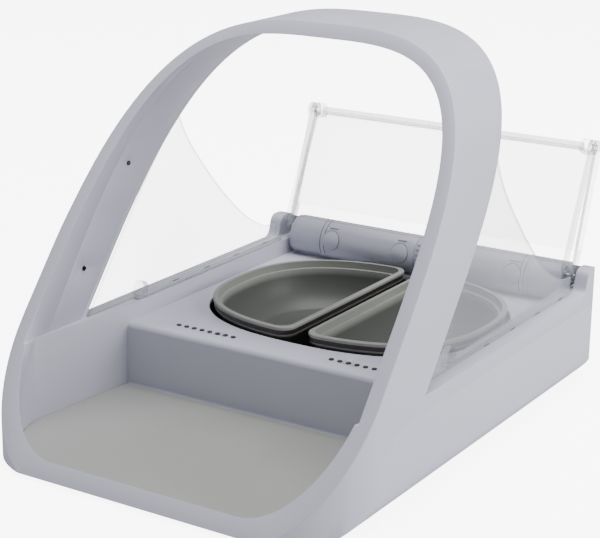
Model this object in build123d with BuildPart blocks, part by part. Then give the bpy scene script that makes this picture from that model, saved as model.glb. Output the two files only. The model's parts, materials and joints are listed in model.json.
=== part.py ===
"""Covered pet feeder with a bi-fold clear lid: one STEP file for each separate piece.

Millimetres, +Z up, front lip towards -Y. The origin is on the ground, at the middle of
the box that holds the feeder with its lid folded open.
"""
import os
from math import atan2, cos, hypot, pi, sin

from build123d import *

os.makedirs("parts", exist_ok=True)

# Overall sizes
WIDTH = 228.0
BODY_LENGTH = 322.0
MIDDLE = 170.54  # middle of the whole box, with the open lid, behind the lip
FOOT = 1.5       # how far the rubber feet hold the body off the ground
HALF = WIDTH / 2

# Heights above the ground
MAT_TOP = 9.2
FLOOR = 7.2
DECK = 46.4
SEAM = 47.5
WALL_TOP = 56.5
SHOULDER_TOP = 70.5
RIM_TOP = 52.6

# Wall thicknesses
SKIN = 2.6
LINER = 2.2
RING_RIM = 8.0

# The arch, seen from the front, is a superellipse that stands on straight legs
ARCH_TOP, ARCH_SPRING, ARCH_POWER = 224.0, 77.7, 3.2
MOUTH_HALF, MOUTH_TOP, MOUTH_SPRING, MOUTH_POWER = 106.0, 216.7, 71.4, 3.48
ARCH_DEPTH = 54.0

# Distances behind the front lip
RISER = 127.4
HOLE_ROW = 139.7
REAR_INNER = BODY_LENGTH - SKIN
REAR_ROUND = 22.0       # side-view radius where the rear wall turns under
BOWL_CENTRE = 226.0
BARREL = (313.0, 58.0)  # axis of the half-round hinge housing: distance back, height
BARREL_R = 12.5
BARREL_HALF = 97.0
MOTOR = (310.0, 58.5)

# Lid linkage in the open position: distance back, height
PIVOT = (309.0, 63.5)
KNUCKLE = (334.4, 138.7)
FOOT_PIN = (303.5, 70.0)

BOWL_A, BOWL_B = 87.5, 72.5
WELL_A, WELL_B = 89.5, 74.8
OVAL_POWER = 2.5
WELL_FLOOR = 20.5
BATTERY_X = 84.0


def back(distance):
    """Model Y of a distance behind the front lip."""
    return distance - MIDDLE


def lean(z, shift=0.0):
    """Model Y of the leaning front face at a height, moved back by a shift."""
    return back(-3.7 + 0.81 * z + 0.00044 * (z - 100) ** 2 + shift)


def lean_arc(low, high, shift_low=0.0, shift_high=0.0):
    """The leaning front face as an arc between two heights, in the YZ plane."""
    middle = (low + high) / 2
    return ThreePointArc(
        (lean(low, shift_low), low),
        (lean(middle, (shift_low + shift_high) / 2), middle),
        (lean(high, shift_high), high),
    )


def crown(half, top, spring, power, steps=20):
    """Points of the arch's superellipse from its right spring line to its left one."""
    points = []
    for i in range(steps + 1):
        c, s = cos(pi * i / steps), sin(pi * i / steps)
        x = half * abs(c) ** (2 / power) * (1 if c >= 0 else -1)
        points.append((x, spring + (top - spring) * abs(s) ** (2 / power)))
    return points


def arch_sketch(half, top, spring, power, bottom, radius):
    """Front view of the arch with its legs, as a closed sketch on the XZ plane."""
    with BuildSketch(Plane.XZ) as sketch:
        with BuildLine():
            Spline(*crown(half, top, spring, power), tangents=((0, 1), (0, -1)))
            Polyline((-half, spring), (-half, bottom), (half, bottom), (half, spring))
        make_face()
        if radius:
            fillet(sketch.vertices().group_by(Axis.Z)[0], radius)
    return sketch.sketch


def mouth_sketch(grow, bottom):
    """Front view of the opening through the arch, grown by a wall thickness."""
    return arch_sketch(
        MOUTH_HALF + grow, MOUTH_TOP + grow, MOUTH_SPRING, MOUTH_POWER, bottom, 0
    )


def plan_sketch(inset):
    """Plan of the body: wide round front corners and smaller rear ones."""
    with BuildSketch(Plane.XY) as sketch:
        with BuildLine():
            Polyline(
                (-HALF + inset, back(inset)),
                (HALF - inset, back(inset)),
                (HALF - inset, back(BODY_LENGTH - inset)),
                (-HALF + inset, back(BODY_LENGTH - inset)),
                close=True,
            )
        make_face()
        fillet(sketch.vertices().group_by(Axis.Y)[0], 52 - inset)
        fillet(sketch.vertices().group_by(Axis.Y)[-1], 11 - inset)
    return sketch.sketch


def side_sketch(inset, front):
    """Side view of the body: leaning arch, low walls and raised rear shoulders."""
    top = ARCH_TOP + 8
    low = FOOT + inset
    leg = lean(WALL_TOP - inset, ARCH_DEPTH - inset)
    rear = back(BODY_LENGTH - inset)
    with BuildSketch(Plane.YZ) as sketch:
        with BuildLine():
            lean_arc(low, top, front, front)
            Line((lean(top, front), top), (lean(top, ARCH_DEPTH - inset), top))
            lean_arc(WALL_TOP - inset, top, ARCH_DEPTH - inset, ARCH_DEPTH - inset)
            FilletPolyline(
                (leg, WALL_TOP - inset),
                (back(300) + inset, WALL_TOP - inset),
                (back(304) + inset, SHOULDER_TOP - inset),
                (rear, SHOULDER_TOP - inset),
                (rear, low),
                (lean(low, front), low),
                radius=(6, 6, 9 - inset, REAR_ROUND - inset),
            )
        make_face()
    return sketch.sketch


def body_block(inset, front):
    """The body's outer form, or with an inset the hollow inside its skins."""
    with BuildPart() as form:
        extrude(plan_sketch(inset), amount=ARCH_TOP + 20)
        front_view = arch_sketch(
            HALF - inset, ARCH_TOP - inset, ARCH_SPRING, ARCH_POWER, FOOT + inset, 15 - inset
        )
        extrude(front_view, amount=BODY_LENGTH, both=True, mode=Mode.INTERSECT)
        extrude(side_sketch(inset, front), amount=WIDTH, both=True, mode=Mode.INTERSECT)
    return form.part


def tray_plan(grow):
    """Plan of the feeding bay: round front corners, then walls that draw in."""
    with BuildSketch(Plane.XY) as sketch:
        with BuildLine():
            Polyline(
                (-105.5 - grow, back(8 - grow)),
                (105.5 + grow, back(8 - grow)),
                (105.5 + grow, back(58)),
                (99.5 + grow, back(RISER)),
                (99.5 + grow, back(REAR_INNER)),
                (-99.5 - grow, back(REAR_INNER)),
                (-99.5 - grow, back(RISER)),
                (-105.5 - grow, back(58)),
                close=True,
            )
        make_face()
        fillet(sketch.vertices().group_by(Axis.Y)[0], 47 + grow)
    return sketch.sketch


def bay_block(grow):
    """The open space of the bay up to the wall top, grown into its walls and floor."""
    with BuildPart() as space:
        extrude(tray_plan(grow), amount=WALL_TOP + 0.5)
        with BuildSketch(Plane.YZ):
            with BuildLine():
                FilletPolyline(
                    (back(0) - 20, FLOOR - grow),
                    (back(RISER) + grow, FLOOR - grow),
                    (back(RISER) + grow, DECK - grow),
                    (back(BODY_LENGTH) + 20, DECK - grow),
                    (back(BODY_LENGTH) + 20, WALL_TOP),
                    (back(0) - 20, WALL_TOP),
                    radius=(2.5, 3.5, 0.5, 0.5),
                )
                Line((back(0) - 20, WALL_TOP), (back(0) - 20, FLOOR - grow))
            make_face()
        extrude(amount=WIDTH, both=True, mode=Mode.INTERSECT)
        add(rear_limit, mode=Mode.INTERSECT)
    return space.part


def mouth_block(grow):
    """The open space through the arch and above the walls."""
    with BuildPart() as space:
        extrude(mouth_sketch(grow, WALL_TOP - grow), amount=BODY_LENGTH, both=True)
        add(rear_limit, mode=Mode.INTERSECT)
    return space.part


def oval(half_x, half_y, steps=24):
    """A full oval, squarer than an ellipse, as a closed sketch that starts on its left."""
    points = []
    for i in range(steps):
        c, s = -cos(2 * pi * i / steps), -sin(2 * pi * i / steps)
        x = half_x * abs(c) ** (2 / OVAL_POWER) * (1 if c >= 0 else -1)
        y = half_y * abs(s) ** (2 / OVAL_POWER) * (1 if s >= 0 else -1)
        points.append((x, y))
    with BuildSketch(Plane.XY) as sketch:
        with BuildLine():
            Spline(*points, periodic=True)
        make_face()
    return sketch.sketch


def behind(shift_low, shift_high, low, high, depth=400.0):
    """Everything behind a leaning surface, between two heights."""
    with BuildPart() as space:
        with BuildSketch(Plane.YZ):
            with BuildLine():
                lean_arc(low, high, shift_low, shift_high)
                Polyline(
                    (lean(high, shift_high), high),
                    (lean(high, shift_high) + depth, high),
                    (lean(high, shift_high) + depth, low),
                    (lean(low, shift_low), low),
                )
            make_face()
        extrude(amount=WIDTH, both=True)
    return space.part


def leaning_slice(low, high, front_shift, rear_shift):
    """The space between two copies of the leaning front face."""
    front_space = behind(*front_shift, low, high)
    rear_space = behind(*rear_shift, low, high, 500)
    with BuildPart() as space:
        add(front_space)
        add(rear_space, mode=Mode.SUBTRACT)
    return space.part


def bar(centre, radius, x0, x1, mode=Mode.ADD):
    """A round bar along X in the current part, at a (distance back, height) centre."""
    with BuildSketch(Plane.YZ.offset(x0)) as section:
        with Locations((back(centre[0]), centre[1])):
            Circle(radius)
    extrude(section.sketch, amount=x1 - x0, mode=mode)


def post(x, distance, radius, z0, z1, mode=Mode.ADD):
    """A round upright post or hole in the current part."""
    with BuildSketch(Plane.XY.offset(z0)) as section:
        with Locations((x, back(distance))):
            Circle(radius)
    extrude(section.sketch, amount=z1 - z0, mode=mode)


def brick(x0, x1, d0, d1, z0, z1, mode=Mode.ADD, corner=0.0):
    """A block in the current part, between two X, two distances back and two heights."""
    with BuildSketch(Plane.XY.offset(z0)) as section:
        with Locations(((x0 + x1) / 2, back((d0 + d1) / 2))):
            if corner:
                RectangleRounded(x1 - x0, d1 - d0, corner)
            else:
                Rectangle(x1 - x0, d1 - d0)
    extrude(section.sketch, amount=z1 - z0, mode=mode)


def save(node, name):
    """Label a finished piece and write it as its own STEP file."""
    node.part.label = name
    export_step(node.part, f"parts/{name}.step")


# Open spaces stop inside the rear wall and its round corners
with BuildPart() as rear_space:
    extrude(plan_sketch(SKIN), amount=ARCH_TOP + 20)
    brick(-WIDTH, WIDTH, -400, 200, 0, ARCH_TOP + 20)
rear_limit = rear_space.part

# Volumes that the mouldings share
outer = body_block(0, 0)
inner = body_block(SKIN, RING_RIM)
bay = bay_block(0)
bay_grown = bay_block(LINER)
mouth = mouth_block(0)
mouth_grown = mouth_block(LINER)
bay_rear = behind(11, 11, FOOT, WALL_TOP)
liner_slice = leaning_slice(WALL_TOP, ARCH_TOP + 6, (21, 6), (ARCH_DEPTH - SKIN - 1,) * 2)

LENSES = ((96.4, 86.0, 106.0), (136.0, 140.0, 103.6))  # distance back, height, X
SCREWS = [(s * x, d) for s in (-1, 1) for x, d in ((42, 139.5), (86, 139.5), (74, 293))]
FEET = [(s * x, d) for s in (-1, 1) for x, d in ((56, 44), (38, 284))]
PLATE_END = 299.0
DOOR_SLOT = (71.5, 96.5, 166.0, 289.0)
BUTTONS = (-24.0, 24.0)
BUTTON_Z = 30.0

# Inner trim strip of the arch, with holes for the sensor lenses
with BuildPart() as liner_blank:
    add(mouth_grown)
    add(mouth, mode=Mode.SUBTRACT)
    add(liner_slice, mode=Mode.INTERSECT)
    add(outer, mode=Mode.INTERSECT)

with BuildPart() as arch_liner:
    add(liner_blank.part)
    for side in (-1, 1):
        for d, z, x in LENSES:
            bar((d, z), 1.4, side * x - 4, side * x + 4, Mode.SUBTRACT)
save(arch_liner, "arch_liner")

# Feeding tray: bay floor, riser, deck and the inner side walls
with BuildPart() as tray_blank:
    add(bay_grown)
    add(bay, mode=Mode.SUBTRACT)
    add(bay_rear, mode=Mode.INTERSECT)
    add(outer, mode=Mode.INTERSECT)

with BuildPart() as tray:
    add(tray_blank.part)
    with BuildSketch(Plane.XY.offset(DECK - 10)) as well_opening:
        with Locations((0, back(BOWL_CENTRE))):
            add(oval(WELL_A, WELL_B))
        for side in (-1, 1):
            with BuildLine():
                Polyline(
                    (side * 80, back(263)),
                    (side * 94.5, back(252)),
                    (side * 87, back(226)),
                    close=True,
                )
            make_face()
    extrude(amount=15, mode=Mode.SUBTRACT)
    for side in (-1, 1):
        for i in range(8):
            post(side * (32.8 + 5.47 * i), HOLE_ROW, 1.5, DECK - 5, DECK + 5, Mode.SUBTRACT)
    for x, d in SCREWS:
        post(x, d, 4, 4.2, DECK - LINER + 0.2)
        post(x, d, 1.25, 4, 16, Mode.SUBTRACT)
save(tray, "tray")

# Underside plate with recesses for the sliding battery doors
with BuildPart() as base_plate:
    brick(-97, 97, 30, PLATE_END, FOOT, FOOT + SKIN, corner=8)
    for side in (-1, 1):
        x0, x1 = sorted((side * DOOR_SLOT[0], side * DOOR_SLOT[1]))
        brick(x0, x1, DOOR_SLOT[2], DOOR_SLOT[3], FOOT, FOOT + 1.6, Mode.SUBTRACT, 2)
        brick(x0 + 2.5, x1 - 2.5, 171, 276, FOOT, FOOT + SKIN, Mode.SUBTRACT, 2)
    for x, d in FEET:
        post(x, d, 7.1, FOOT, FOOT + 1, Mode.SUBTRACT)
    for x, d in SCREWS:
        post(x, d, 1.5, FOOT, FOOT + SKIN, Mode.SUBTRACT)
        post(x, d, 3.0, FOOT, FOOT + 1.5, Mode.SUBTRACT)
save(base_plate, "base_plate")

# One closed skin, split into the upper and lower mouldings
with BuildPart() as hollow:
    add(inner)
    add(bay_grown, mode=Mode.SUBTRACT)
    add(mouth_grown, mode=Mode.SUBTRACT)

with BuildPart() as skin:
    add(outer)
    add(bay, mode=Mode.SUBTRACT)
    add(mouth, mode=Mode.SUBTRACT)
    add(hollow.part, mode=Mode.SUBTRACT)
    add(tray_blank.part, mode=Mode.SUBTRACT)
    add(liner_blank.part, mode=Mode.SUBTRACT)
    brick(-97.2, 97.2, 29.8, PLATE_END + 0.2, FOOT, FOOT + SKIN, Mode.SUBTRACT, 8.2)
    for x in BUTTONS:
        with BuildSketch(Plane.XZ.offset(-back(BODY_LENGTH + 1))):
            with Locations((x, BUTTON_Z)):
                Circle(5.2)
        extrude(amount=6, mode=Mode.SUBTRACT)

# Above the outside seam, and the whole of the front ring
with BuildPart() as upper:
    with BuildSketch(Plane.YZ):
        with BuildLine():
            Polyline(
                (back(BODY_LENGTH) + 20, SEAM),
                (back(70), SEAM),
                (back(26), FOOT),
                (back(26), -10),
                (back(-30), -10),
                (back(-30), ARCH_TOP + 20),
                (back(BODY_LENGTH) + 20, ARCH_TOP + 20),
                close=True,
            )
        make_face()
    extrude(amount=WIDTH, both=True)

with BuildPart() as arch_shell:
    add(skin.part)
    add(upper.part, mode=Mode.INTERSECT)
save(arch_shell, "arch_shell")

with BuildPart() as base_shell:
    add(skin.part)
    add(upper.part, mode=Mode.SUBTRACT)
save(base_shell, "base_shell")


def half_moon(inset, z):
    """Plan of the right bowl at a height: half an oval with rounded corners."""
    with BuildSketch(Plane.XY.offset(z)) as sketch:
        with Locations((0, back(BOWL_CENTRE))):
            add(oval(BOWL_A - inset, BOWL_B - inset))
        with Locations((5 + inset - 200, back(BOWL_CENTRE))):
            Rectangle(400, 400, mode=Mode.SUBTRACT)
        fillet(sketch.vertices(), 9 - inset * 0.25)
    return sketch.sketch


def save_pair(piece, name):
    """Write a right-hand piece and its mirror image on the left."""
    save(piece, f"{name}_right")
    with BuildPart() as twin:
        add(piece.part)
        mirror(about=Plane.YZ, mode=Mode.REPLACE)
    save(twin, f"{name}_left")


# Food bowls: a lip and a lower flange round an upright rim, then a tapered dish
LEDGE = RIM_TOP - 4.4   # inner step between the upright rim and the dish
LIP = 1.9               # thickness of the top lip
FLANGE = DECK + 0.4     # underside of the lower flange
with BuildPart() as bowl:
    extrude(half_moon(0, RIM_TOP - LIP), amount=LIP)
    fillet(bowl.edges().filter_by(GeomType.LINE, reverse=True).group_by(Axis.Z)[-1], 0.7)
    extrude(half_moon(0.6, FLANGE), amount=1.1)
    extrude(half_moon(1.3, FLANGE), amount=RIM_TOP - LIP - FLANGE)
    loft([half_moon(3.0, FLANGE + 0.2), half_moon(9, WELL_FLOOR + 10),
          half_moon(16, WELL_FLOOR + 3)])
    extrude(half_moon(2.8, LEDGE), amount=5, mode=Mode.SUBTRACT)
    loft([half_moon(5.0, LEDGE + 0.1), half_moon(10.8, WELL_FLOOR + 11),
          half_moon(18, WELL_FLOOR + 4.8)], mode=Mode.SUBTRACT)
save_pair(bowl, "bowl")

# Dark seal in the groove between the lip and the flange
with BuildPart() as bowl_seal:
    extrude(half_moon(0.5, FLANGE + 1.15), amount=RIM_TOP - LIP - FLANGE - 1.2)
    extrude(half_moon(1.35, FLANGE), amount=8, mode=Mode.SUBTRACT)
    add(bowl.part, mode=Mode.SUBTRACT)
save_pair(bowl_seal, "bowl_seal")

# Dark tub under the deck that the bowls hang in
with BuildPart() as bowl_well:
    for inset, low, mode in ((-1.8, WELL_FLOOR - 1.8, Mode.ADD), (0.2, WELL_FLOOR, Mode.SUBTRACT)):
        with BuildSketch(Plane.XY.offset(low)) as tub:
            with Locations((0, back(BOWL_CENTRE))):
                add(oval(WELL_A - inset, WELL_B - inset))
        extrude(tub.sketch, amount=DECK - LINER - low, mode=mode)
save(bowl_well, "bowl_well")

# Soft mat on the bay floor
with BuildPart() as mat:
    with BuildSketch(Plane.XY.offset(FLOOR)):
        add(tray_plan(-0.4))
        with Locations((0, back(RISER - 2.8 + 200))):
            Rectangle(400, 400, mode=Mode.SUBTRACT)
    extrude(amount=MAT_TOP - FLOOR)
    fillet(mat.edges().group_by(Axis.Z)[-1], 0.6)
save(mat, "feeding_mat")

# Half-round hinge housing across the back of the deck
with BuildPart() as barrel_solid:
    bar(BARREL, BARREL_R, -BARREL_HALF, BARREL_HALF)
    brick(-BARREL_HALF, BARREL_HALF, BARREL[0] - 6.3, REAR_INNER, DECK, BARREL[1] + 9)
    brick(-BARREL_HALF, BARREL_HALF, BARREL[0] - 2, REAR_INNER, DECK, SHOULDER_TOP - 1)
    brick(-BARREL_HALF, BARREL_HALF, REAR_INNER, 400, 0, 200, Mode.SUBTRACT)
    brick(-BARREL_HALF, BARREL_HALF, 250, 400, 0, DECK, Mode.SUBTRACT)

with BuildPart() as hinge_barrel:
    add(barrel_solid.part)
    add(rear_limit, mode=Mode.INTERSECT)
    bar(BARREL, BARREL_R - 2.2, -BARREL_HALF + 2.5, BARREL_HALF - 2.5, Mode.SUBTRACT)
    brick(-94.5, 94.5, BARREL[0] - 5.5, REAR_INNER - 2.2, DECK, BARREL[1], Mode.SUBTRACT)
    bar(PIVOT, 2.04, -BARREL_HALF - 1, BARREL_HALF + 1, Mode.SUBTRACT)
    post(0, BARREL[0] - 2, 1.6, BARREL[1], BARREL[1] + 20, Mode.SUBTRACT)
save(hinge_barrel, "hinge_barrel")

# Two covers that wrap the barrel, each with two cap recesses and slots above them
CAPS = (14.0, 65.0)
CAP_Z = 60.8
with BuildPart() as pod_cover:
    bar(BARREL, BARREL_R + 0.8, 4, 75)
    bar(BARREL, BARREL_R + 0.03, 3, 76, Mode.SUBTRACT)
    brick(3, 76, 250, 400, 0, DECK + 1.2, Mode.SUBTRACT)
    brick(3, 76, BARREL[0] - 1, 400, 0, 200, Mode.SUBTRACT)
    for x in CAPS:
        brick(x - 3.2, x + 3.2, BARREL[0] - 9.4, BARREL[0] - 8.2, 60, 90, Mode.SUBTRACT)
save_pair(pod_cover, "pod_cover")

with BuildPart() as pod_caps:
    for side in (-1, 1):
        for x in CAPS:
            with BuildSketch(Plane.XZ.offset(-back(BARREL[0] - 4))):
                with Locations((side * x, CAP_Z)):
                    Circle(6.0)
            extrude(amount=20)
    with BuildSketch(Plane.YZ):
        with Locations((back(BARREL[0]), BARREL[1])):
            Circle(BARREL_R + 1.5)
            Circle(BARREL_R + 0.83, mode=Mode.SUBTRACT)
    extrude(amount=WIDTH, both=True, mode=Mode.INTERSECT)
save(pod_caps, "pod_caps")

with BuildPart() as status_lens:
    post(0, BARREL[0] - 2, 1.58, BARREL[1] + 9.5, SHOULDER_TOP + 0.2)
save(status_lens, "status_lens")


# The lid: two clear panels with side flanges, folded together in the open position
LID_LEAN = atan2(KNUCKLE[0] - PIVOT[0], KNUCKLE[1] - PIVOT[1])
FLAP_LEAN = atan2(KNUCKLE[0] - FOOT_PIN[0], KNUCKLE[1] - FOOT_PIN[1])
LID_REACH = hypot(KNUCKLE[0] - PIVOT[0], KNUCKLE[1] - PIVOT[1])
FLAP_REACH = hypot(KNUCKLE[0] - FOOT_PIN[0], KNUCKLE[1] - FOOT_PIN[1])


def link_plane(foot, angle, x):
    """A plane at X whose first axis runs up a lid panel and whose second points back."""
    return Plane(
        origin=(x, back(foot[0]), foot[1]),
        x_dir=(0, sin(angle), cos(angle)),
        z_dir=(-1, 0, 0),
    )


def panel(foot, angle, reach, half, facing, start):
    """A clear sheet with two side flanges; facing is +1 for the rear panel."""
    for side in (-1, 1):
        x = side * (half - 1) + 1
        with BuildSketch(link_plane(foot, angle, x)) as flange:
            Circle(3.6)
            with Locations((reach, 0)):
                Circle(4.6)
            with BuildLine():
                Polyline(
                    (0, -facing * 2.2), (reach, -facing * 2.2),
                    (reach - 1.2, facing * 5.0), (start + 2, facing * 5.0), (0, facing * 2),
                    close=True,
                )
            make_face()
        extrude(flange.sketch, amount=2)
    with BuildSketch(link_plane(foot, angle, half)) as sheet:
        with Locations(((start + reach - 1.2) / 2, facing * 4.1)):
            Rectangle(reach - 1.2 - start, 1.8)
    extrude(sheet.sketch, amount=2 * half)


with BuildPart() as lid_rear_panel:
    panel(PIVOT, LID_LEAN, LID_REACH, 102.5, 1, 16)
    bar(PIVOT, 1.98, -110, 110, Mode.SUBTRACT)
    bar(KNUCKLE, 1.98, -110, 110, Mode.SUBTRACT)
    for side in (-1, 1):
        x0, x1 = sorted((side * 92.2, side * 100.5))
        bar(KNUCKLE, 5.2, x0, x1, Mode.SUBTRACT)
save(lid_rear_panel, "lid_rear_panel")

with BuildPart() as lid_front_panel:
    panel(FOOT_PIN, FLAP_LEAN, FLAP_REACH, 99.5, -1, 2)
    bar(FOOT_PIN, 1.78, -110, 110, Mode.SUBTRACT)
    bar(KNUCKLE, 2.06, -110, 110, Mode.SUBTRACT)
    for side in (-1, 1):
        x0, x1 = sorted((side * 92.2, side * 97.5))
        bar(KNUCKLE, 5.2, x0, x1, Mode.SUBTRACT)
save(lid_front_panel, "lid_front_panel")

with BuildPart() as knuckle_pins:
    for side in (-1, 1):
        x0, x1 = sorted((side * 92.5, side * 103.4))
        bar(KNUCKLE, 1.98, x0, x1)
        x0, x1 = sorted((side * 92.5, side * 97.2))
        bar(KNUCKLE, 4.9, x0, x1)
save(knuckle_pins, "lid_knuckle_pins")

with BuildPart() as knuckle_rod:
    bar(KNUCKLE, 2.6, -92.4, 92.4)
save(knuckle_rod, "lid_knuckle_rod")

with BuildPart() as foot_pins:
    for side in (-1, 1):
        x0, x1 = sorted((side * 97.5, side * 103.4))
        bar(FOOT_PIN, 1.78, x0, x1)
save(foot_pins, "lid_foot_pins")

# Lid drive: a geared motor inside the barrel turns the right arm; a stub carries the left
with BuildPart() as gear_motor:
    bar(MOTOR, 6.6, -60, 5)
    bar((MOTOR[0], MOTOR[1] + 0.7), 7.0, 5, 27)
save(gear_motor, "gear_motor")

with BuildPart() as motor_saddle:
    for x in (-55, -5):
        brick(x, x + 4, MOTOR[0] - 2, MOTOR[0] + 5, DECK, MOTOR[1] - 3)
    bar(MOTOR, 6.65, -70, 10, Mode.SUBTRACT)
save(motor_saddle, "motor_saddle")

with BuildPart() as lid_shaft:
    bar(PIVOT, 1.98, 27, 103.4)
save(lid_shaft, "lid_shaft")

with BuildPart() as lid_stub:
    bar(PIVOT, 1.98, -103.4, -86)
save(lid_stub, "lid_stub_pin")

# Clear side shields: a fin behind the arch leg with a rail on the wall top
with BuildPart() as side_shield:
    with BuildSketch(Plane.YZ.offset(104.4)) as fin:
        with BuildLine():
            lean_arc(WALL_TOP, 164, ARCH_DEPTH + 0.8, ARCH_DEPTH + 0.8)
            Spline(
                (lean(164, ARCH_DEPTH + 0.8), 164),
                (back(209), 128),
                (back(250), 88),
                (back(284), 68.5),
                tangents=((0.35, -1), (1, -0.35)),
            )
            Polyline(
                (back(284), 68.5),
                (back(296), 67.3),
                (back(296), WALL_TOP),
                (lean(WALL_TOP, ARCH_DEPTH + 0.8), WALL_TOP),
            )
        make_face()
    extrude(fin.sketch, amount=1.6)
    with BuildSketch(Plane.YZ.offset(100.2)) as ledge:
        with BuildLine():
            Polyline(
                (back(140), WALL_TOP), (back(140), 58.0), (back(296), 60.2),
                (back(296), WALL_TOP), close=True,
            )
        make_face()
    extrude(ledge.sketch, amount=4.2)
    bar((144.4, 61.8), 5.0, 100.2, 104.4)
save_pair(side_shield, "side_shield")

# Sensors in the arch: dark lenses, their boards and the tag reader's coil
with BuildPart() as sensor_lenses:
    for side in (-1, 1):
        for d, z, x in LENSES:
            x0, x1 = sorted((side * (x - 0.6), side * (x + 1.6)))
            bar((d, z), 1.35, x0, x1)
save(sensor_lenses, "sensor_lenses")

with BuildPart() as sensor_boards:
    for side in (-1, 1):
        for d, z, x in LENSES:
            x0, x1 = sorted((side * (x + 2.9), side * (x + 3.6)))
            brick(x0, x1, d - 4, d + 4, z - 2.6, z + 2.6)
save(sensor_boards, "sensor_boards")

coil_slice = leaning_slice(62, ARCH_TOP + 6, (40, 40), (48, 48))
with BuildPart() as reader_coil:
    extrude(mouth_sketch(LINER + 1.0, 60), amount=BODY_LENGTH, both=True)
    extrude(mouth_sketch(LINER + 0.3, 50), amount=BODY_LENGTH, both=True, mode=Mode.SUBTRACT)
    add(coil_slice, mode=Mode.INTERSECT)
save(reader_coil, "reader_coil")

# Electronics behind the riser and at the rear wall
with BuildPart() as main_board:
    brick(-34, 34, 131.5, 133.1, 9, 41)
    brick(-12, 2, 133.1, 134.7, 18, 32)
    brick(14, 24, 133.1, 135.5, 14, 22)
    brick(-30, -22, 133.1, 138, 30, 38)
save(main_board, "main_board")

with BuildPart() as switch_board:
    brick(-34, 34, 309.5, 311.0, BUTTON_Z - 7, BUTTON_Z + 7)
    for x in BUTTONS:
        brick(x - 3, x + 3, 311.0, 314.5, BUTTON_Z - 3, BUTTON_Z + 3)
save(switch_board, "switch_board")

for x, name in zip(BUTTONS, ("right", "left")):
    with BuildPart() as button:
        for radius, d0, d1 in ((5.1, 317, 323.2), (6.6, 316.2, 318.4)):
            with BuildSketch(Plane.XZ.offset(-back(d1))) as disc:
                with Locations((x, BUTTON_Z)):
                    Circle(radius)
            extrude(disc.sketch, amount=d1 - d0)
        fillet(button.edges().group_by(Axis.Y)[-1], 0.6)
    save(button, f"button_{name}")

# Power: cells in two underside bays, sprung contacts and sliding doors
with BuildPart() as battery_cells:
    for side in (-1, 1):
        for d in (172.5, 224.5):
            with BuildSketch(Plane.XZ.offset(-back(d + 49))) as cell:
                with Locations((side * BATTERY_X, 11.2)):
                    Circle(7.1)
            extrude(cell.sketch, amount=49)
            with BuildSketch(Plane.XZ.offset(-back(d + 50.4))) as tip:
                with Locations((side * BATTERY_X, 11.2)):
                    Circle(2.7)
            extrude(tip.sketch, amount=1.4)
save(battery_cells, "battery_cells")

with BuildPart() as battery_contacts:
    for side in (-1, 1):
        x0, x1 = sorted((side * (BATTERY_X - 5), side * (BATTERY_X + 5)))
        for d in (171.2, 275.0):
            brick(x0, x1, d, d + 0.8, 5, 17)
save(battery_contacts, "battery_contacts")

with BuildPart() as battery_door:
    brick(71.8, 96.2, 166.4, 280.5, FOOT + 0.1, FOOT + 1.5, corner=1.8)
    for i in range(6):
        brick(78, 90, 170 + 3 * i, 171.2 + 3 * i, FOOT, FOOT + 0.5, Mode.SUBTRACT)
save_pair(battery_door, "battery_door")

# Feet and screws
with BuildPart() as feet:
    for x, d in FEET:
        post(x, d, 7, 0, FOOT + 1)
    fillet(feet.edges().group_by(Axis.Z)[0], 0.4)
save(feet, "feet")

with BuildPart() as case_screws:
    for x, d in SCREWS:
        post(x, d, 2.8, FOOT + 0.1, FOOT + 1.4)
        post(x, d, 1.2, FOOT + 0.1, 14)
save(case_screws, "case_screws")
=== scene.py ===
# %% [markdown]
# A covered pet feeder, open and ready to use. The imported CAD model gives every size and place,
# so this file starts from it and never moves it. What is added here is what a moulder, a
# toolmaker and a photographer would add: rounded edges, seams, grain, gloss and small fittings.

# %% Load the frame
import json
from math import cos, pi, radians, sin

import bmesh
import bpy
from mathutils import Matrix, Vector


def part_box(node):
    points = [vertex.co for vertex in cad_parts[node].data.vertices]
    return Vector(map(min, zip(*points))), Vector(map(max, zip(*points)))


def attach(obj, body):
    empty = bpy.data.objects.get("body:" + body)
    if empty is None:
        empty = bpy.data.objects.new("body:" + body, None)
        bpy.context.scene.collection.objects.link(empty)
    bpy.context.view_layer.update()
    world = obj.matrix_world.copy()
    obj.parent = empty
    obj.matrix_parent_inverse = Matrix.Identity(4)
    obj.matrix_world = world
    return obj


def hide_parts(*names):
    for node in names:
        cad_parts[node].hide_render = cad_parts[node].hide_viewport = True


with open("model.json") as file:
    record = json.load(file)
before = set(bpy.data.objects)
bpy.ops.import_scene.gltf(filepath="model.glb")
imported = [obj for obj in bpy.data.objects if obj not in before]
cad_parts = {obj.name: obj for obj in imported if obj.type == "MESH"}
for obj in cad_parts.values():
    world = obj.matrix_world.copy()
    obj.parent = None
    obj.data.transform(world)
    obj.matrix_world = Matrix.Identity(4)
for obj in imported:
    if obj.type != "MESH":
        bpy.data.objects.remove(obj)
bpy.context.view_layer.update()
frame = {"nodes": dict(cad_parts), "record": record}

MM = 0.001
print("nodes:", len(frame["nodes"]))

# %% [markdown]
# Places are read from the frame. Distances are counted back from the front lip, in millimetres,
# as a designer of this feeder would, so one helper turns such a distance into the frame's own Y.

# %% Places read from the frame
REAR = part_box("base_shell")[1].y
REAR_DISTANCE = 322
RIM_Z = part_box("bowl_right")[1].z
DECK = RIM_Z - 5 * MM
SEAM_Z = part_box("base_shell")[1].z
VENT_ROW = 139.7


def back(distance):
    """Frame Y of a distance in millimetres behind the front lip."""
    return REAR - (REAR_DISTANCE - distance) * MM


print(f"deck at {DECK:.4f} m, seam at {SEAM_Z:.4f} m, rear wall at {REAR:.4f} m")

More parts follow.
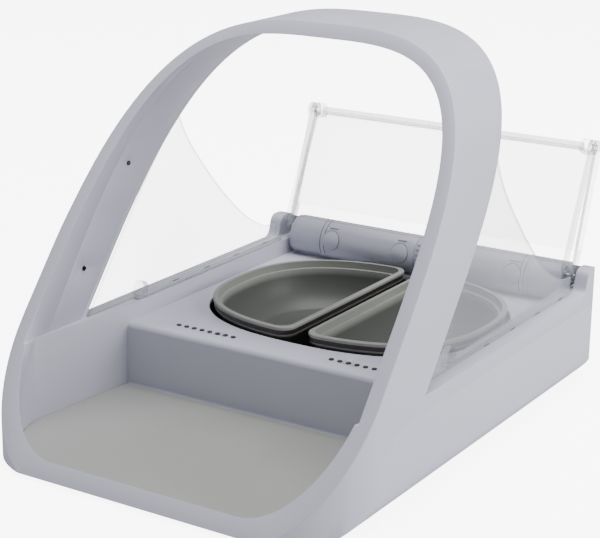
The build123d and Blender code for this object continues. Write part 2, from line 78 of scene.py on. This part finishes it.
# %% [markdown]
# Shader sums are easier to read as Python than as boxes and wires. A `Wire` is one output of a
# node, and adding or multiplying wires adds Math nodes. `Finish` holds one material and makes
# every other kind of node through a single method.

# %% Shader helpers
class Wire:
    """One output socket, with arithmetic that grows the material's node tree."""

    def __init__(self, finish, socket):
        self.finish = finish
        self.socket = socket

    def _math(self, operation, first, second):
        return self.finish.node("ShaderNodeMath", {"operation": operation}, {0: first, 1: second})

    def __add__(self, other):
        return self._math("ADD", self, other)

    __radd__ = __add__

    def __mul__(self, other):
        return self._math("MULTIPLY", self, other)

    __rmul__ = __mul__

    def __sub__(self, other):
        return self._math("SUBTRACT", self, other)

    def __rsub__(self, other):
        return self._math("SUBTRACT", other, self)

    def __gt__(self, other):
        return self._math("GREATER_THAN", self, other)


class Finish:
    """One procedural material, built around a single Principled shader."""

    def __init__(self, name, colour, roughness, **sockets):
        self.material = bpy.data.materials.new(name)
        self.material.use_nodes = True
        self.tree = self.material.node_tree
        self.shader = self.tree.nodes["Principled BSDF"]
        self.material.diffuse_color = (*colour, 1)
        self.feed(self.shader, {"Base Color": (*colour, 1), "Roughness": roughness, **sockets})
        self.place = self.node("ShaderNodeTexCoord", {}, {}, "Object")

    def feed(self, node, sockets):
        """Give a node's input sockets their values or wires."""
        for key, value in sockets.items():
            if isinstance(value, Wire):
                self.tree.links.new(value.socket, node.inputs[key])
            else:
                node.inputs[key].default_value = value

    def node(self, kind, settings, sockets, output=0):
        """Add any node: its settings first, then its sockets; returns one output as a Wire."""
        made = self.tree.nodes.new(kind)
        for key, value in settings.items():
            if key == "stops":
                for stop, (position, colour) in zip(made.color_ramp.elements, value):
                    stop.position, stop.color = position, colour
            else:
                setattr(made, key, value)
        self.feed(made, sockets)
        return Wire(self, made.outputs[output])

    def noise(self, scale, detail=2.0, stretch=(1, 1, 1)):
        """Noise on object coordinates, with a scale in cells per metre."""
        spot = self.node("ShaderNodeMapping", {}, {"Vector": self.place, "Scale": stretch})
        return self.node("ShaderNodeTexNoise", {}, {"Vector": spot, "Scale": scale, "Detail": detail})

    def axis(self, which):
        """One object coordinate, in metres."""
        return self.node("ShaderNodeSeparateXYZ", {}, {0: self.place}, "XYZ".index(which))

    def mix(self, factor, low, high):
        """Blend two colours."""
        return self.node(
            "ShaderNodeMix", {"data_type": "RGBA"},
            {"Factor": factor, 6: (*low, 1), 7: (*high, 1)}, 2,
        )

    def paint(self, **sockets):
        """Feed wires to the shader; underscores in a name stand for spaces."""
        self.feed(self.shader, {key.replace("_", " "): value for key, value in sockets.items()})
        return self

    def bump(self, height, depth, strength=1.0):
        """Raise the surface by a height wire, with a depth in metres."""
        sockets = {"Height": height, "Distance": depth, "Strength": strength}
        return self.node("ShaderNodeBump", {}, sockets)


def tint(colour, factor):
    """A colour made lighter or darker."""
    return tuple(min(1.0, channel * factor) for channel in colour)


# %% [markdown]
# Most of the feeder is one satin plastic. A mould with a fine spark finish leaves a grain about
# a third of a millimetre across, and thick and thin walls cool to slightly different gloss. So
# the recipe mixes two noises: a fine one for the grain and a broad one for colour and gloss.

# %% Moulded plastics
def moulded(name, colour, roughness, grain=0.00003, spread=0.03, cells=2600, **sockets):
    """A satin moulding with fine grain and slow changes of gloss."""
    finish = Finish(name, colour, roughness, **sockets)
    fine = finish.noise(cells, 3.0)
    broad = finish.noise(28, 2.0)
    return finish.paint(
        Base_Color=finish.mix(broad, tint(colour, 1 - spread), tint(colour, 1 + spread)),
        Roughness=roughness - 0.06 + broad * 0.08 + fine * 0.04,
        Normal=finish.bump(fine, grain, 0.35),
    )


SHELL = (0.462, 0.462, 0.540)
shell_plastic = moulded("shell plastic", SHELL, 0.42, **{"Specular IOR Level": 0.45})
base_plastic = moulded("base plastic", tint(SHELL, 0.93), 0.50, grain=0.00005)
trim_plastic = moulded("pod plastic", tint(SHELL, 0.96), 0.38)
dark_plastic = moulded("well plastic", (0.016, 0.011, 0.010), 0.36, cells=1900)
button_plastic = moulded("button plastic", (0.40, 0.41, 0.46), 0.46)
print("moulded plastics:", shell_plastic.material.name, base_plastic.material.name)

# %% [markdown]
# The bowls are a denser, glossier plastic than the shell, so light pools in them. The dish is
# painted darker than the upright rim over its ledge: painted shade for the inside of the bowl,
# which the lamps reach less. A slow noise keeps the gloss from looking computed.

# %% Bowl plastic, with painted shade in the dish
# Painted shade: one bowl plastic, given as a shaded dish colour and a lit rim colour.
SHADED_DISH = (0.062, 0.066, 0.060)
LIT_RIM = (0.225, 0.232, 0.212)


def bowl_finish():
    """Satin grey-green with a thin glossy skin, and painted shade in the dish."""
    finish = Finish("bowl plastic", SHADED_DISH, 0.46, **{"Specular IOR Level": 0.3})
    broad = finish.noise(30)
    fine = finish.noise(3000, 2.0)
    # Painted shade: this mask is 0 in the dish and 1 on the rim over its ledge, so the dish is painted
    # darker.
    lit_rim_mask = finish.node("ShaderNodeMapRange", {}, {
        "Value": finish.axis("Z"), "From Min": RIM_Z - 9 * MM, "From Max": RIM_Z - 5.5 * MM,
    })
    return finish.paint(
        Base_Color=finish.mix(lit_rim_mask * 0.94 + broad * 0.06, SHADED_DISH, LIT_RIM),
        Roughness=0.42 + broad * 0.08,
        Normal=finish.bump(fine, 0.00002, 0.2),
    )


bowl_plastic = bowl_finish()
print("bowl finish:", bowl_plastic.material.name)

# %% [markdown]
# Rubber scatters light softly and never has a sharp reflection. The mat has a pale sheen and a
# barely visible mottle; the seals and feet are the same recipe in near black.

# %% Rubbers
def rubber(name, colour, roughness, mottle=0.05, sheen=0.15):
    """Matt rubber with a soft sheen and a powdery mottle."""
    finish = Finish(name, colour, roughness, **{"Sheen Weight": sheen, "Sheen Roughness": 0.6})
    cloud = finish.noise(22, 4.0)
    speck = finish.noise(1400, 2.0)
    return finish.paint(
        Base_Color=finish.mix(cloud, tint(colour, 1 - mottle), tint(colour, 1 + mottle)),
        Roughness=roughness - 0.05 + cloud * 0.10,
        Normal=finish.bump(speck, 0.00006, 0.4),
    )


mat_rubber = rubber("mat rubber", (0.235, 0.242, 0.222), 0.50)
seal_rubber = rubber("seal rubber", (0.020, 0.012, 0.010), 0.42, sheen=0.05)
foot_rubber = rubber("foot rubber", (0.035, 0.035, 0.038), 0.70)
print("rubbers:", mat_rubber.material.name, seal_rubber.material.name, foot_rubber.material.name)

# %% [markdown]
# The shields and lid are clear acrylic. Real light bends in it, but a feeder's panels are so
# thin that most of it passes straight on, so the finish lets part of the light through as plain
# transparency. Layer Weight makes the sheet denser where it is seen along its surface. The rims
# use a denser version, and the knuckle rod a frosted one.

# %% Clear and frosted plastics
def clear_finish(name, colour, low, high, roughness):
    """Clear plastic that thickens to grey where the surface turns away."""
    finish = Finish(name, colour, roughness, IOR=1.49, **{"Specular IOR Level": 0.6})
    facing = finish.node("ShaderNodeLayerWeight", {}, {"Blend": 0.30}, 1)
    haze = finish.noise(60, 3.0)
    finish.paint(
        Alpha=low + facing * (high - low),
        Roughness=roughness + haze * 0.03,
        Base_Color=finish.mix(haze, tint(colour, 0.97), tint(colour, 1.02)),
    )
    finish.material.surface_render_method = "DITHERED"
    return finish


clear_plastic = clear_finish("clear plastic", (0.52, 0.54, 0.58), 0.05, 0.46, 0.04)
clear_edge = clear_finish("clear edge", (0.36, 0.38, 0.41), 0.30, 0.85, 0.10)
frosted_plastic = clear_finish("frosted plastic", (0.62, 0.61, 0.61), 0.38, 0.50, 0.35)
print("clear finishes:", clear_plastic.material.name, clear_edge.material.name)

# %% [markdown]
# Metal parts are small and mostly inside. Drawn steel has fine lines along its length, so the
# noise is stretched along X, the way the shaft and the motor lie.

# %% Metals
def metal(name, colour, roughness, stretch):
    """Bright metal with drawing lines."""
    finish = Finish(name, colour, roughness, Metallic=1.0)
    lines = finish.noise(900, 3.0, stretch)
    return finish.paint(
        Base_Color=finish.mix(lines, tint(colour, 0.88), tint(colour, 1.08)),
        Roughness=roughness - 0.06 + lines * 0.14,
        Normal=finish.bump(lines, 0.00002, 0.3),
    )


steel = metal("bright steel", (0.56, 0.57, 0.58), 0.28, (0.04, 1, 1))
motor_metal = metal("plated can", (0.60, 0.60, 0.58), 0.34, (0.04, 1, 1))
copper_coil = metal("coil winding", (0.62, 0.30, 0.16), 0.36, (1, 5, 1))
print("metals:", steel.material.name, motor_metal.material.name, copper_coil.material.name)

# %% [markdown]
# The last finishes are for electronics: a board with a lattice of tracks under green lacquer,
# cells with a plain two-colour jacket, dark infra-red lenses and one pale indicator window.

# %% Electronics
CELLS_START = 172.5
CELL_LENGTH = 0.052


def board_finish():
    """Green lacquer over copper tracks."""
    finish = Finish("circuit board", (0.02, 0.16, 0.07), 0.32)
    tracks = finish.node(
        "ShaderNodeTexBrick", {"offset": 0.5},
        {"Vector": finish.place, "Scale": 420, "Mortar Size": 0.03,
         "Color1": (0, 0, 0, 1), "Color2": (0, 0, 0, 1), "Mortar": (1, 1, 1, 1)}, 1,
    )
    spots = finish.noise(300, 1.0)
    return finish.paint(
        Base_Color=finish.mix(tracks, (0.015, 0.13, 0.055), (0.05, 0.30, 0.12)),
        Roughness=0.28 + spots * 0.10,
        Normal=finish.bump(tracks, 0.00004, 0.5),
    )


def cell_finish():
    """A dark jacket with a copper-coloured end, and no lettering."""
    finish = Finish("cell jacket", (0.03, 0.03, 0.035), 0.25, **{"Coat Weight": 0.4})
    along = (finish.axis("Y") - back(CELLS_START)) * (1 / CELL_LENGTH)
    share = finish.node("ShaderNodeMath", {"operation": "FRACT"}, {0: along})
    coppery = share > 0.68
    scuff = finish.noise(120, 3.0)
    return finish.paint(
        Base_Color=finish.mix(coppery, (0.03, 0.03, 0.035), (0.52, 0.25, 0.10)),
        Roughness=0.20 + scuff * 0.12,
        Metallic=coppery * 0.6,
    )


circuit_board = board_finish()
cell_jacket = cell_finish()
dark_lens = moulded("infra-red lens", (0.006, 0.006, 0.008), 0.10, grain=0.0)
light_lens = moulded("indicator lens", (0.62, 0.70, 0.62), 0.15, grain=0.0)
seam_shadow = moulded("seam shadow", (0.055, 0.055, 0.065), 0.70)
print("electronics:", circuit_board.material.name, cell_jacket.material.name)

# %% [markdown]
# Every piece is a closed mesh in the frame's own metres. One helper makes a piece from points
# and faces, points its faces outwards, smooths it by angle, and ties it to its body.

# %% Piece helpers
FINISHES = {
    "shell_plastic": shell_plastic, "base_plastic": base_plastic, "dark_plastic": dark_plastic,
    "mat_rubber": mat_rubber, "bowl_plastic": bowl_plastic, "seal_rubber": seal_rubber,
    "clear_plastic": clear_plastic, "frosted_plastic": frosted_plastic, "light_lens": light_lens,
    "dark_lens": dark_lens, "button_plastic": button_plastic, "circuit_board": circuit_board,
    "copper_coil": copper_coil, "motor_metal": motor_metal, "steel": steel,
    "cell_jacket": cell_jacket, "foot_rubber": foot_rubber,
}
SLOT_OF = {part["node"]: part["material_slot"] for part in frame["record"]["subparts"]}


def smooth(mesh, degrees=32):
    """Shade a mesh smooth, but keep edges sharper than an angle."""
    mesh.polygons.foreach_set("use_smooth", [True] * len(mesh.polygons))
    mesh.set_sharp_from_angle(angle=radians(degrees))


def settle(mesh, name, body, finish):
    """Make an object of a finished mesh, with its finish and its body."""
    mesh.materials.clear()
    mesh.materials.append(finish.material)
    made = bpy.data.objects.new(name, mesh)
    bpy.context.collection.objects.link(made)
    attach(made, body)
    return made


def solid(name, points, faces, body, finish):
    """A closed piece from points and faces, with its faces turned outwards."""
    mesh = bpy.data.meshes.new(name)
    mesh.from_pydata([tuple(p) for p in points], [], faces)
    form = bmesh.new()
    form.from_mesh(mesh)
    bmesh.ops.recalc_face_normals(form, faces=form.faces)
    form.to_mesh(mesh)
    form.free()
    smooth(mesh)
    return settle(mesh, name, body, finish)


def sweep(sections, closed=False):
    """Points and faces of a tube through cross-sections with equal counts of points."""
    count, width = len(sections), len(sections[0])
    points = [point for section in sections for point in section]
    faces = []
    for i in range(count if closed else count - 1):
        for j in range(width):
            a, b = i * width, (i + 1) % count * width
            faces.append((a + j, a + (j + 1) % width, b + (j + 1) % width, b + j))
    if not closed:
        faces += [tuple(range(width)), tuple(range((count - 1) * width, count * width))]
    return points, faces


print("helpers ready for", len(FINISHES), "finishes")

# %% [markdown]
# A mould has no knife edges: every visible edge of the shell is rounded by a millimetre or so,
# and that thin round is what catches the light along the hoop. The CAD pieces are sharp, so a
# copy of each is merged into a proper surface, its flat triangles are dissolved, and only the
# edges that the real piece rounds are bevelled. The copy then stands for the CAD node. On a clear
# sheet the narrow faces, under five square centimetres, take the denser edge finish.

# %% Rounded copies of the mouldings
THIN_FACE = 0.0005


def body_name(node):
    """The body that holds a CAD node."""
    bodies = frame["record"]["behaviour"]["bodies"]
    return next(name for name, nodes in bodies.items() if node in nodes)


def round_edges(form, radius, steps, where, sharper=28):
    """Bevel the sharp edges of a mesh that pass a test on their middle; returns the new faces."""
    sharp = [
        edge for edge in form.edges
        if len(edge.link_faces) == 2 and edge.calc_face_angle(0) > radians(sharper)
        and where((edge.verts[0].co + edge.verts[1].co) / 2)
    ]
    made = bmesh.ops.bevel(
        form, geom=sharp, offset=radius * MM, segments=steps, profile=0.5,
        affect="EDGES", clamp_overlap=True, offset_type="OFFSET",
    )
    return made["faces"]


def rounded(node, *passes, edge_finish=None):
    """A copy of a CAD node with rounded edges, standing for it; a pass is radius, steps, test."""
    form = bmesh.new()
    form.from_mesh(frame["nodes"][node].data)
    bmesh.ops.remove_doubles(form, verts=form.verts, dist=2e-6)
    bmesh.ops.dissolve_degenerate(form, dist=2e-6, edges=form.edges)
    bmesh.ops.dissolve_limit(form, angle_limit=radians(0.6), verts=form.verts, edges=form.edges)
    for face in form.faces:
        face.material_index = 1 if edge_finish and face.calc_area() < THIN_FACE else 0
    for radius, steps, where in passes:
        for face in round_edges(form, radius, steps, where):
            face.material_index = 1 if edge_finish else 0
    bmesh.ops.triangulate(form, faces=[f for f in form.faces if len(f.verts) > 4])
    mesh = bpy.data.meshes.new(f"{node}_rounded")
    form.to_mesh(mesh)
    form.free()
    smooth(mesh)
    slot = SLOT_OF[node]
    chosen = [face.material_index for face in mesh.polygons]
    made = settle(mesh, f"{node}_rounded", body_name(node), FINISHES[slot])
    if edge_finish:
        mesh.materials.append(edge_finish.material)
        mesh.polygons.foreach_set("material_index", chosen)
    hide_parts(node)
    print(f"{node}: {len(mesh.polygons)} faces")
    return made


# %% [markdown]
# Which edge gets which round depends on where it is. The front face of the hoop leans back along
# a shallow arc, so a test on that arc finds the hoop's front edges, and a test on height finds
# the shoulders.

# %% Edge tests
def hoop_front(z):
    """Frame Y of the leaning front face at a height."""
    tall = z / MM
    lean, curve = 0.81, 0.00044
    return back(-3.7 + lean * tall + curve * (tall - 100) ** 2)


def on_hoop_front(point):
    """True on the hoop's front face."""
    return abs(point.y - hoop_front(point.z)) < 0.4 * MM


def on_shoulder(point):
    """True on the top edges of the rear shoulders."""
    return point.y > back(299) and point.z > 56 * MM


def on_front_split(point):
    """True on the hidden joint that runs down the front of each leg."""
    low = point.z < SEAM_Z - 0.5 * MM and back(20) < point.y < back(75)
    return low and (abs(point.x) > 60 * MM or point.z > 9 * MM)


def elsewhere(*tests):
    """A test that is true where none of the given ones is."""
    return lambda point: not any(test(point) for test in tests)


def anywhere(point):
    """True for every edge."""
    return True


def on_vents(point):
    """True at the small vent holes in the deck."""
    return abs(point.y - back(VENT_ROW)) < 2.5 * MM


# %% Shells
rounded(
    "arch_shell", (1.1, 3, on_hoop_front), (2.2, 4, on_shoulder),
    (0.35, 2, elsewhere(on_hoop_front, on_shoulder, on_front_split)),
)
rounded("base_shell", (0.35, 2, elsewhere(on_front_split)))
rounded("tray", (0.8, 3, elsewhere(on_vents)))
rounded("arch_liner", (0.25, 2, anywhere))

# %% Small mouldings
for node, radius in (
    ("pod_cover_left", 0.4), ("pod_cover_right", 0.4), ("hinge_barrel", 0.4), ("pod_caps", 0.35),
    ("battery_door_left", 0.3), ("battery_door_right", 0.3), ("base_plate", 0.4),
):
    rounded(node, (radius, 2, anywhere))

# %% Clear mouldings
for node in ("lid_rear_panel", "lid_front_panel", "side_shield_left", "side_shield_right"):
    rounded(node, (0.45, 2, anywhere), edge_finish=clear_edge)

# %% [markdown]
# Small things that repeat are made with Geometry Nodes: one tree draws a row of points and puts
# the same small solid on each. The tree has named inputs for the row and the solid's size, so one
# tree of bars serves the rail slots, the divider's ribs and the recesses in the screw heads.

# %% A row maker in Geometry Nodes
def new_tree(name, inputs):
    """An empty geometry tree with named inputs; returns it with its input and output nodes."""
    tree = bpy.data.node_groups.new(name, "GeometryNodeTree")
    tree.interface.new_socket("Geometry", in_out="OUTPUT", socket_type="NodeSocketGeometry")
    for label, kind in inputs:
        tree.interface.new_socket(label, in_out="INPUT", socket_type=f"NodeSocket{kind}")
    return tree, tree.nodes.new("NodeGroupInput"), tree.nodes.new("NodeGroupOutput")


def finish_tree(tree, source, material_from, outlet):
    """End a tree as the export needs it: real geometry with its material set."""
    real = tree.nodes.new("GeometryNodeRealizeInstances")
    paint = tree.nodes.new("GeometryNodeSetMaterial")
    tree.links.new(source, real.inputs[0])
    tree.links.new(real.outputs[0], paint.inputs["Geometry"])
    tree.links.new(material_from, paint.inputs["Material"])
    tree.links.new(paint.outputs[0], outlet.inputs[0])


def row_tree(shape):
    """A tree that repeats a disc, a bar or a coil along a straight row."""
    tree, given, outlet = new_tree(f"row of {shape}", (
        ("Count", "Int"), ("Start", "Vector"), ("Step", "Vector"), ("Size", "Vector"),
        ("Turn", "Rotation"), ("Material", "Material"),
    ))
    link = tree.links.new
    line = tree.nodes.new("GeometryNodeMeshLine")
    line.mode = "OFFSET"
    link(given.outputs["Count"], line.inputs["Count"])
    link(given.outputs["Start"], line.inputs["Start Location"])
    link(given.outputs["Step"], line.inputs["Offset"])
    size = tree.nodes.new("ShaderNodeSeparateXYZ")
    link(given.outputs["Size"], size.inputs[0])
    if shape == "bars":
        body = tree.nodes.new("GeometryNodeMeshCube")
        link(given.outputs["Size"], body.inputs["Size"])
    elif shape == "discs":
        body = tree.nodes.new("GeometryNodeMeshCylinder")
        body.inputs["Vertices"].default_value = 24
        link(size.outputs["X"], body.inputs["Radius"])
        link(size.outputs["Z"], body.inputs["Depth"])
    else:
        spiral = tree.nodes.new("GeometryNodeCurveSpiral")
        spiral.inputs["Resolution"].default_value = 20
        spiral.inputs["Rotations"].default_value = 5.0
        link(size.outputs["X"], spiral.inputs["Start Radius"])
        link(size.outputs["Y"], spiral.inputs["End Radius"])
        link(size.outputs["Z"], spiral.inputs["Height"])
        wire = tree.nodes.new("GeometryNodeCurvePrimitiveCircle")
        wire.inputs["Resolution"].default_value = 8
        wire.inputs["Radius"].default_value = 0.35 * MM
        body = tree.nodes.new("GeometryNodeCurveToMesh")
        link(spiral.outputs[0], body.inputs["Curve"])
        link(wire.outputs[0], body.inputs["Profile Curve"])
        body.inputs["Fill Caps"].default_value = True
    place = tree.nodes.new("GeometryNodeInstanceOnPoints")
    link(line.outputs[0], place.inputs["Points"])
    link(body.outputs[0], place.inputs["Instance"])
    link(given.outputs["Turn"], place.inputs["Rotation"])
    finish_tree(tree, place.outputs[0], given.outputs["Material"], outlet)
    return tree


ROWS = {shape: row_tree(shape) for shape in ("bars", "discs", "coils")}
print("row trees:", sorted(ROWS))


# %% [markdown]
# A tree's result is not a piece yet. One helper runs the tree on an empty object and keeps the
# evaluated mesh, and a second one joins several rows into one piece.

# %% Turning a tree into a plain piece
def grown(tree, values):
    """The plain mesh that a tree makes with these named inputs."""
    holder = bpy.data.objects.new("seed", bpy.data.meshes.new("seed"))
    bpy.context.collection.objects.link(holder)
    modifier = holder.modifiers.new("grow", "NODES")
    modifier.node_group = tree
    for item in tree.interface.items_tree:
        if item.in_out == "INPUT" and item.name in values:
            modifier[item.identifier] = values[item.name]
    scene_now = bpy.context.evaluated_depsgraph_get()
    mesh = bpy.data.meshes.new_from_object(holder.evaluated_get(scene_now))
    bpy.data.objects.remove(holder)
    return mesh


def row(name, shape, rows, step, count, size, body, finish, turn=(0.0, 0.0, 0.0)):
    """One piece made of one or more rows of the same small solid."""
    form = bmesh.new()
    for start in rows:
        mesh = grown(ROWS[shape], {
            "Count": count, "Start": start, "Step": step, "Size": size, "Turn": turn,
            "Material": finish.material,
        })
        form.from_mesh(mesh)
    whole = bpy.data.meshes.new(name)
    form.to_mesh(whole)
    form.free()
    smooth(whole)
    print(f"{name}: {len(rows)} rows of {count}, {len(whole.polygons)} faces")
    return settle(whole, name, body, finish)


# %% [markdown]
# The vent holes are blind to the eye: a dark mesh sits just under the deck as painted shade. Each
# hole gets a dark disc inside it, a little below the surface, at the same pitch as the holes, for the
# shade inside the hole.

# %% Painted shade in the vent holes
VENT_PITCH = 5.47 * MM
VENT_R = 1.49 * MM
VENT_COUNT = 8
VENT_INNER = 32.8 * MM
VENT_MIDDLE = DECK - 1.6 * MM
# Painted shade: dark discs just under the deck stand for the shade inside each vent hole.
row(
    "vent_hole_painted_shade", "discs",
    [
        (VENT_INNER, back(VENT_ROW), VENT_MIDDLE),
        (-VENT_INNER - (VENT_COUNT - 1) * VENT_PITCH, back(VENT_ROW), VENT_MIDDLE),
    ],
    (VENT_PITCH, 0, 0), VENT_COUNT, (VENT_R, VENT_R, 2.0 * MM),
    "root", dark_plastic,
)

# %% [markdown]
# Each cell bay has a sprung contact at its front end, a small cone of wire.

# %% Contact springs
CELL_Z = (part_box("battery_cells")[0].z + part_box("battery_cells")[1].z) / 2
row(
    "contact_springs", "coils",
    [(-84 * MM, back(273.9), CELL_Z), (84 * MM, back(273.9), CELL_Z)],
    (0, 0, 0.001 * MM), 1, (2.2 * MM, 3.6 * MM, 1.0 * MM), "root", steel,
    turn=(-pi / 2, 0.0, 0.0),
)

# %% [markdown]
# The two covers meet at the middle of the barrel under a short ribbed divider.

# %% Divider ribs
BARREL_Y, BARREL_Z, BARREL_R = back(313), 58 * MM, 12.5 * MM


def barrel_point(angle, radius):
    """Y and Z on a circle round the barrel's axis; 0 degrees points forward."""
    return (BARREL_Y - radius * cos(radians(angle)), BARREL_Z + radius * sin(radians(angle)))


for i, angle in enumerate((-22, -8, 6, 20, 34, 48)):
    y, z = barrel_point(angle, BARREL_R + 0.1 * MM)
    row(
        f"divider_rib_{i}", "bars", [(0, y, z)], (0.001 * MM, 0, 0), 1,
        (5.6 * MM, 1.0 * MM, 1.1 * MM), "root", trim_plastic,
        turn=(-radians(angle), 0.0, 0.0),
    )

# %% [markdown]
# The clear rails on the wall tops carry short dark slots where their clips engage.

# %% Rail slots
for side, label in ((-1, "left"), (1, "right")):
    row(
        f"rail_slots_{label}", "bars", [(side * 105.6 * MM, back(184), 56.75 * MM)],
        (0, 33 * MM, 0), 4, (0.6 * MM, 5.5 * MM, 0.7 * MM), "root", seam_shadow,
    )

# %% [markdown]
# Each screw head has a cross recess. Two thin dark bars, sunk flush in the head, draw it.

# %% Screw recesses
HEAD_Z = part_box("case_screws")[0].z
for i, (x, distance) in enumerate(((42, 139.5), (86, 139.5), (74, 293))):
    middles = [(side * x * MM, back(distance), HEAD_Z + 0.28 * MM) for side in (1, -1)]
    for turn, name in ((0.0, "across"), (pi / 2, "along")):
        row(
            f"screw_recess_{name}_{i}", "bars", middles,
            (0.001 * MM, 0, 0), 1, (3.2 * MM, 0.6 * MM, 0.6 * MM), "root", seam_shadow,
            turn=(0.0, 0.0, turn),
        )

# %% [markdown]
# Thin grooves run round the covers near their outer ends and round each cap. A groove reads as
# a dark line, so each is a closed band a third of a millimetre wide, sunk so that only its
# top shows.

# %% Cover and cap lines
CAP_X = (14, 65)
CAP_Z = 60.8 * MM
CAP_GROOVE_R = 6.15
GROOVE_FOOT, BAND_TOP, RING_TOP = 0.3, 0.95, 0.98


def band_round_barrel(name, x, width=0.35):
    """A dark arc on a cover, across its face from under the front to the top."""
    sections = []
    steps, lowest, sweep_angle = 18, -34, 118
    for step in range(steps + 1):
        angle = lowest + step * sweep_angle / steps
        inner_y, inner_z = barrel_point(angle, BARREL_R + GROOVE_FOOT * MM)
        outer_y, outer_z = barrel_point(angle, BARREL_R + BAND_TOP * MM)
        sections.append([
            (x - width / 2 * MM, inner_y, inner_z), (x + width / 2 * MM, inner_y, inner_z),
            (x + width / 2 * MM, outer_y, outer_z), (x - width / 2 * MM, outer_y, outer_z),
        ])
    points, faces = sweep(sections)
    return solid(name, points, faces, "root", seam_shadow)


for side, label in ((-1, "left"), (1, "right")):
    for i, x in enumerate((70.2, 73.2)):
        band_round_barrel(f"cover_line_{label}_{i}", side * x * MM)


def cap_ring(name, x, z, radius, width=0.3):
    """A dark ring round a cap, wrapped on the cover's curve."""
    sections = []
    steps = 48
    for step in range(steps):
        turn = 2 * pi * step / steps
        near, far = [
            (x + reach * MM * cos(turn), z + reach * MM * sin(turn))
            for reach in (radius - width / 2, radius + width / 2)
        ]
        ring = []
        for (px, pz), lift in zip(
            (near, far, far, near), (GROOVE_FOOT, GROOVE_FOOT, RING_TOP, RING_TOP),
        ):
            depth = ((BARREL_R + lift * MM) ** 2 - (pz - BARREL_Z) ** 2) ** 0.5
            ring.append((px, BARREL_Y - depth, pz))
        sections.append(ring)
    points, faces = sweep(sections, closed=True)
    return solid(name, points, faces, "root", seam_shadow)


for side, label in ((-1, "left"), (1, "right")):
    for i, x in enumerate(CAP_X):
        cap_ring(f"cap_ring_{label}_{i}", side * x * MM, CAP_Z, CAP_GROOVE_R)

# %% [markdown]
# Everything else keeps its CAD shape. Those nodes only need the finish of their slot.

# %% Finishes for the kept CAD nodes
for node, obj in frame["nodes"].items():
    obj.data.materials.clear()
    obj.data.materials.append(FINISHES[SLOT_OF[node]].material)
print("finished", len(frame["nodes"]), "CAD nodes")

# %% [markdown]
# Plain studio: a floor, a pale room, and two large soft lights. The key light stands low at the
# right and the top light overhead, so the outside of the right wall is bright and the riser and
# the inside of the hoop turn grey. The floor glows white only where the camera sees it directly,
# so it lights nothing, and it is clear from below, so that the underside can be seen.

# %% Floor, light and camera
def area_light(name, spot, aim, width, height, power, colour=(1, 1, 1)):
    """A soft rectangular light at one place that points at another."""
    lamp = bpy.data.lights.new(name, "AREA")
    lamp.shape = "RECTANGLE"
    lamp.size, lamp.size_y, lamp.energy, lamp.color = width, height, power, colour
    made = bpy.data.objects.new(name, lamp)
    bpy.context.collection.objects.link(made)
    made.location = spot
    made.rotation_euler = (Vector(aim) - Vector(spot)).to_track_quat("-Z", "Y").to_euler()
    return made


floor_finish = moulded("studio floor", (0.62, 0.62, 0.63), 0.85, grain=0.0, spread=0.004)
WHITE_GLOW = 7.0
seen_directly = floor_finish.node("ShaderNodeLightPath", {}, {}, "Is Camera Ray")
from_below = floor_finish.node("ShaderNodeNewGeometry", {}, {}, "Backfacing")
floor_finish.paint(
    Emission_Color=floor_finish.mix(seen_directly, (0, 0, 0), (1, 1, 1)), Emission_Strength=WHITE_GLOW,
    Alpha=1 - from_below,
)
FLOOR_HALF = 6.0
floor_mesh = bpy.data.meshes.new("studio_floor")
floor_mesh.from_pydata(
    [(x, y, -0.0004) for x, y in (
        (-FLOOR_HALF, -FLOOR_HALF), (FLOOR_HALF, -FLOOR_HALF),
        (FLOOR_HALF, FLOOR_HALF), (-FLOOR_HALF, FLOOR_HALF),
    )], [], [(0, 1, 2, 3)],
)
floor_mesh.materials.append(floor_finish.material)
studio_floor = bpy.data.objects.new("studio_floor", floor_mesh)
bpy.context.collection.objects.link(studio_floor)

room = bpy.data.worlds.new("pale room")
bpy.context.scene.world = room
room.use_nodes = True
room.node_tree.nodes["Background"].inputs["Color"].default_value = (0.94, 0.955, 1.0, 1)
room.node_tree.nodes["Background"].inputs["Strength"].default_value = 0.42

CENTRE = (0, 0, 0.08)  # what both lights aim at
area_light("key", (1.5, 0.45, 0.50), CENTRE, 0.9, 0.9, 28)
area_light("top", (0.1, 0.15, 1.7), CENTRE, 1.2, 1.2, 48)

# Camera: place and three unit axes of the view
EYE = Vector((0.48785, -0.79519, 0.36997))
RIGHT = Vector((0.839401, 0.543429, 0.009560))
UP = Vector((-0.166946, 0.241052, 0.956045))
BACKWARD = Vector((0.517238, -0.804101, 0.293063))
lens = bpy.data.cameras.new("camera")
lens.sensor_width, lens.lens = 36.0, 102.57
lens.shift_x, lens.shift_y = 0.0392, 0.0031
lens.clip_start = 0.05
camera = bpy.data.objects.new("camera", lens)
axes = Matrix((RIGHT, UP, BACKWARD)).transposed().to_4x4()
camera.matrix_world = Matrix.Translation(EYE) @ axes
bpy.context.collection.objects.link(camera)
bpy.context.scene.camera = camera
print("camera", tuple(round(v, 3) for v in EYE))

# %% [markdown]

# %% Closing line
print("scene script done")
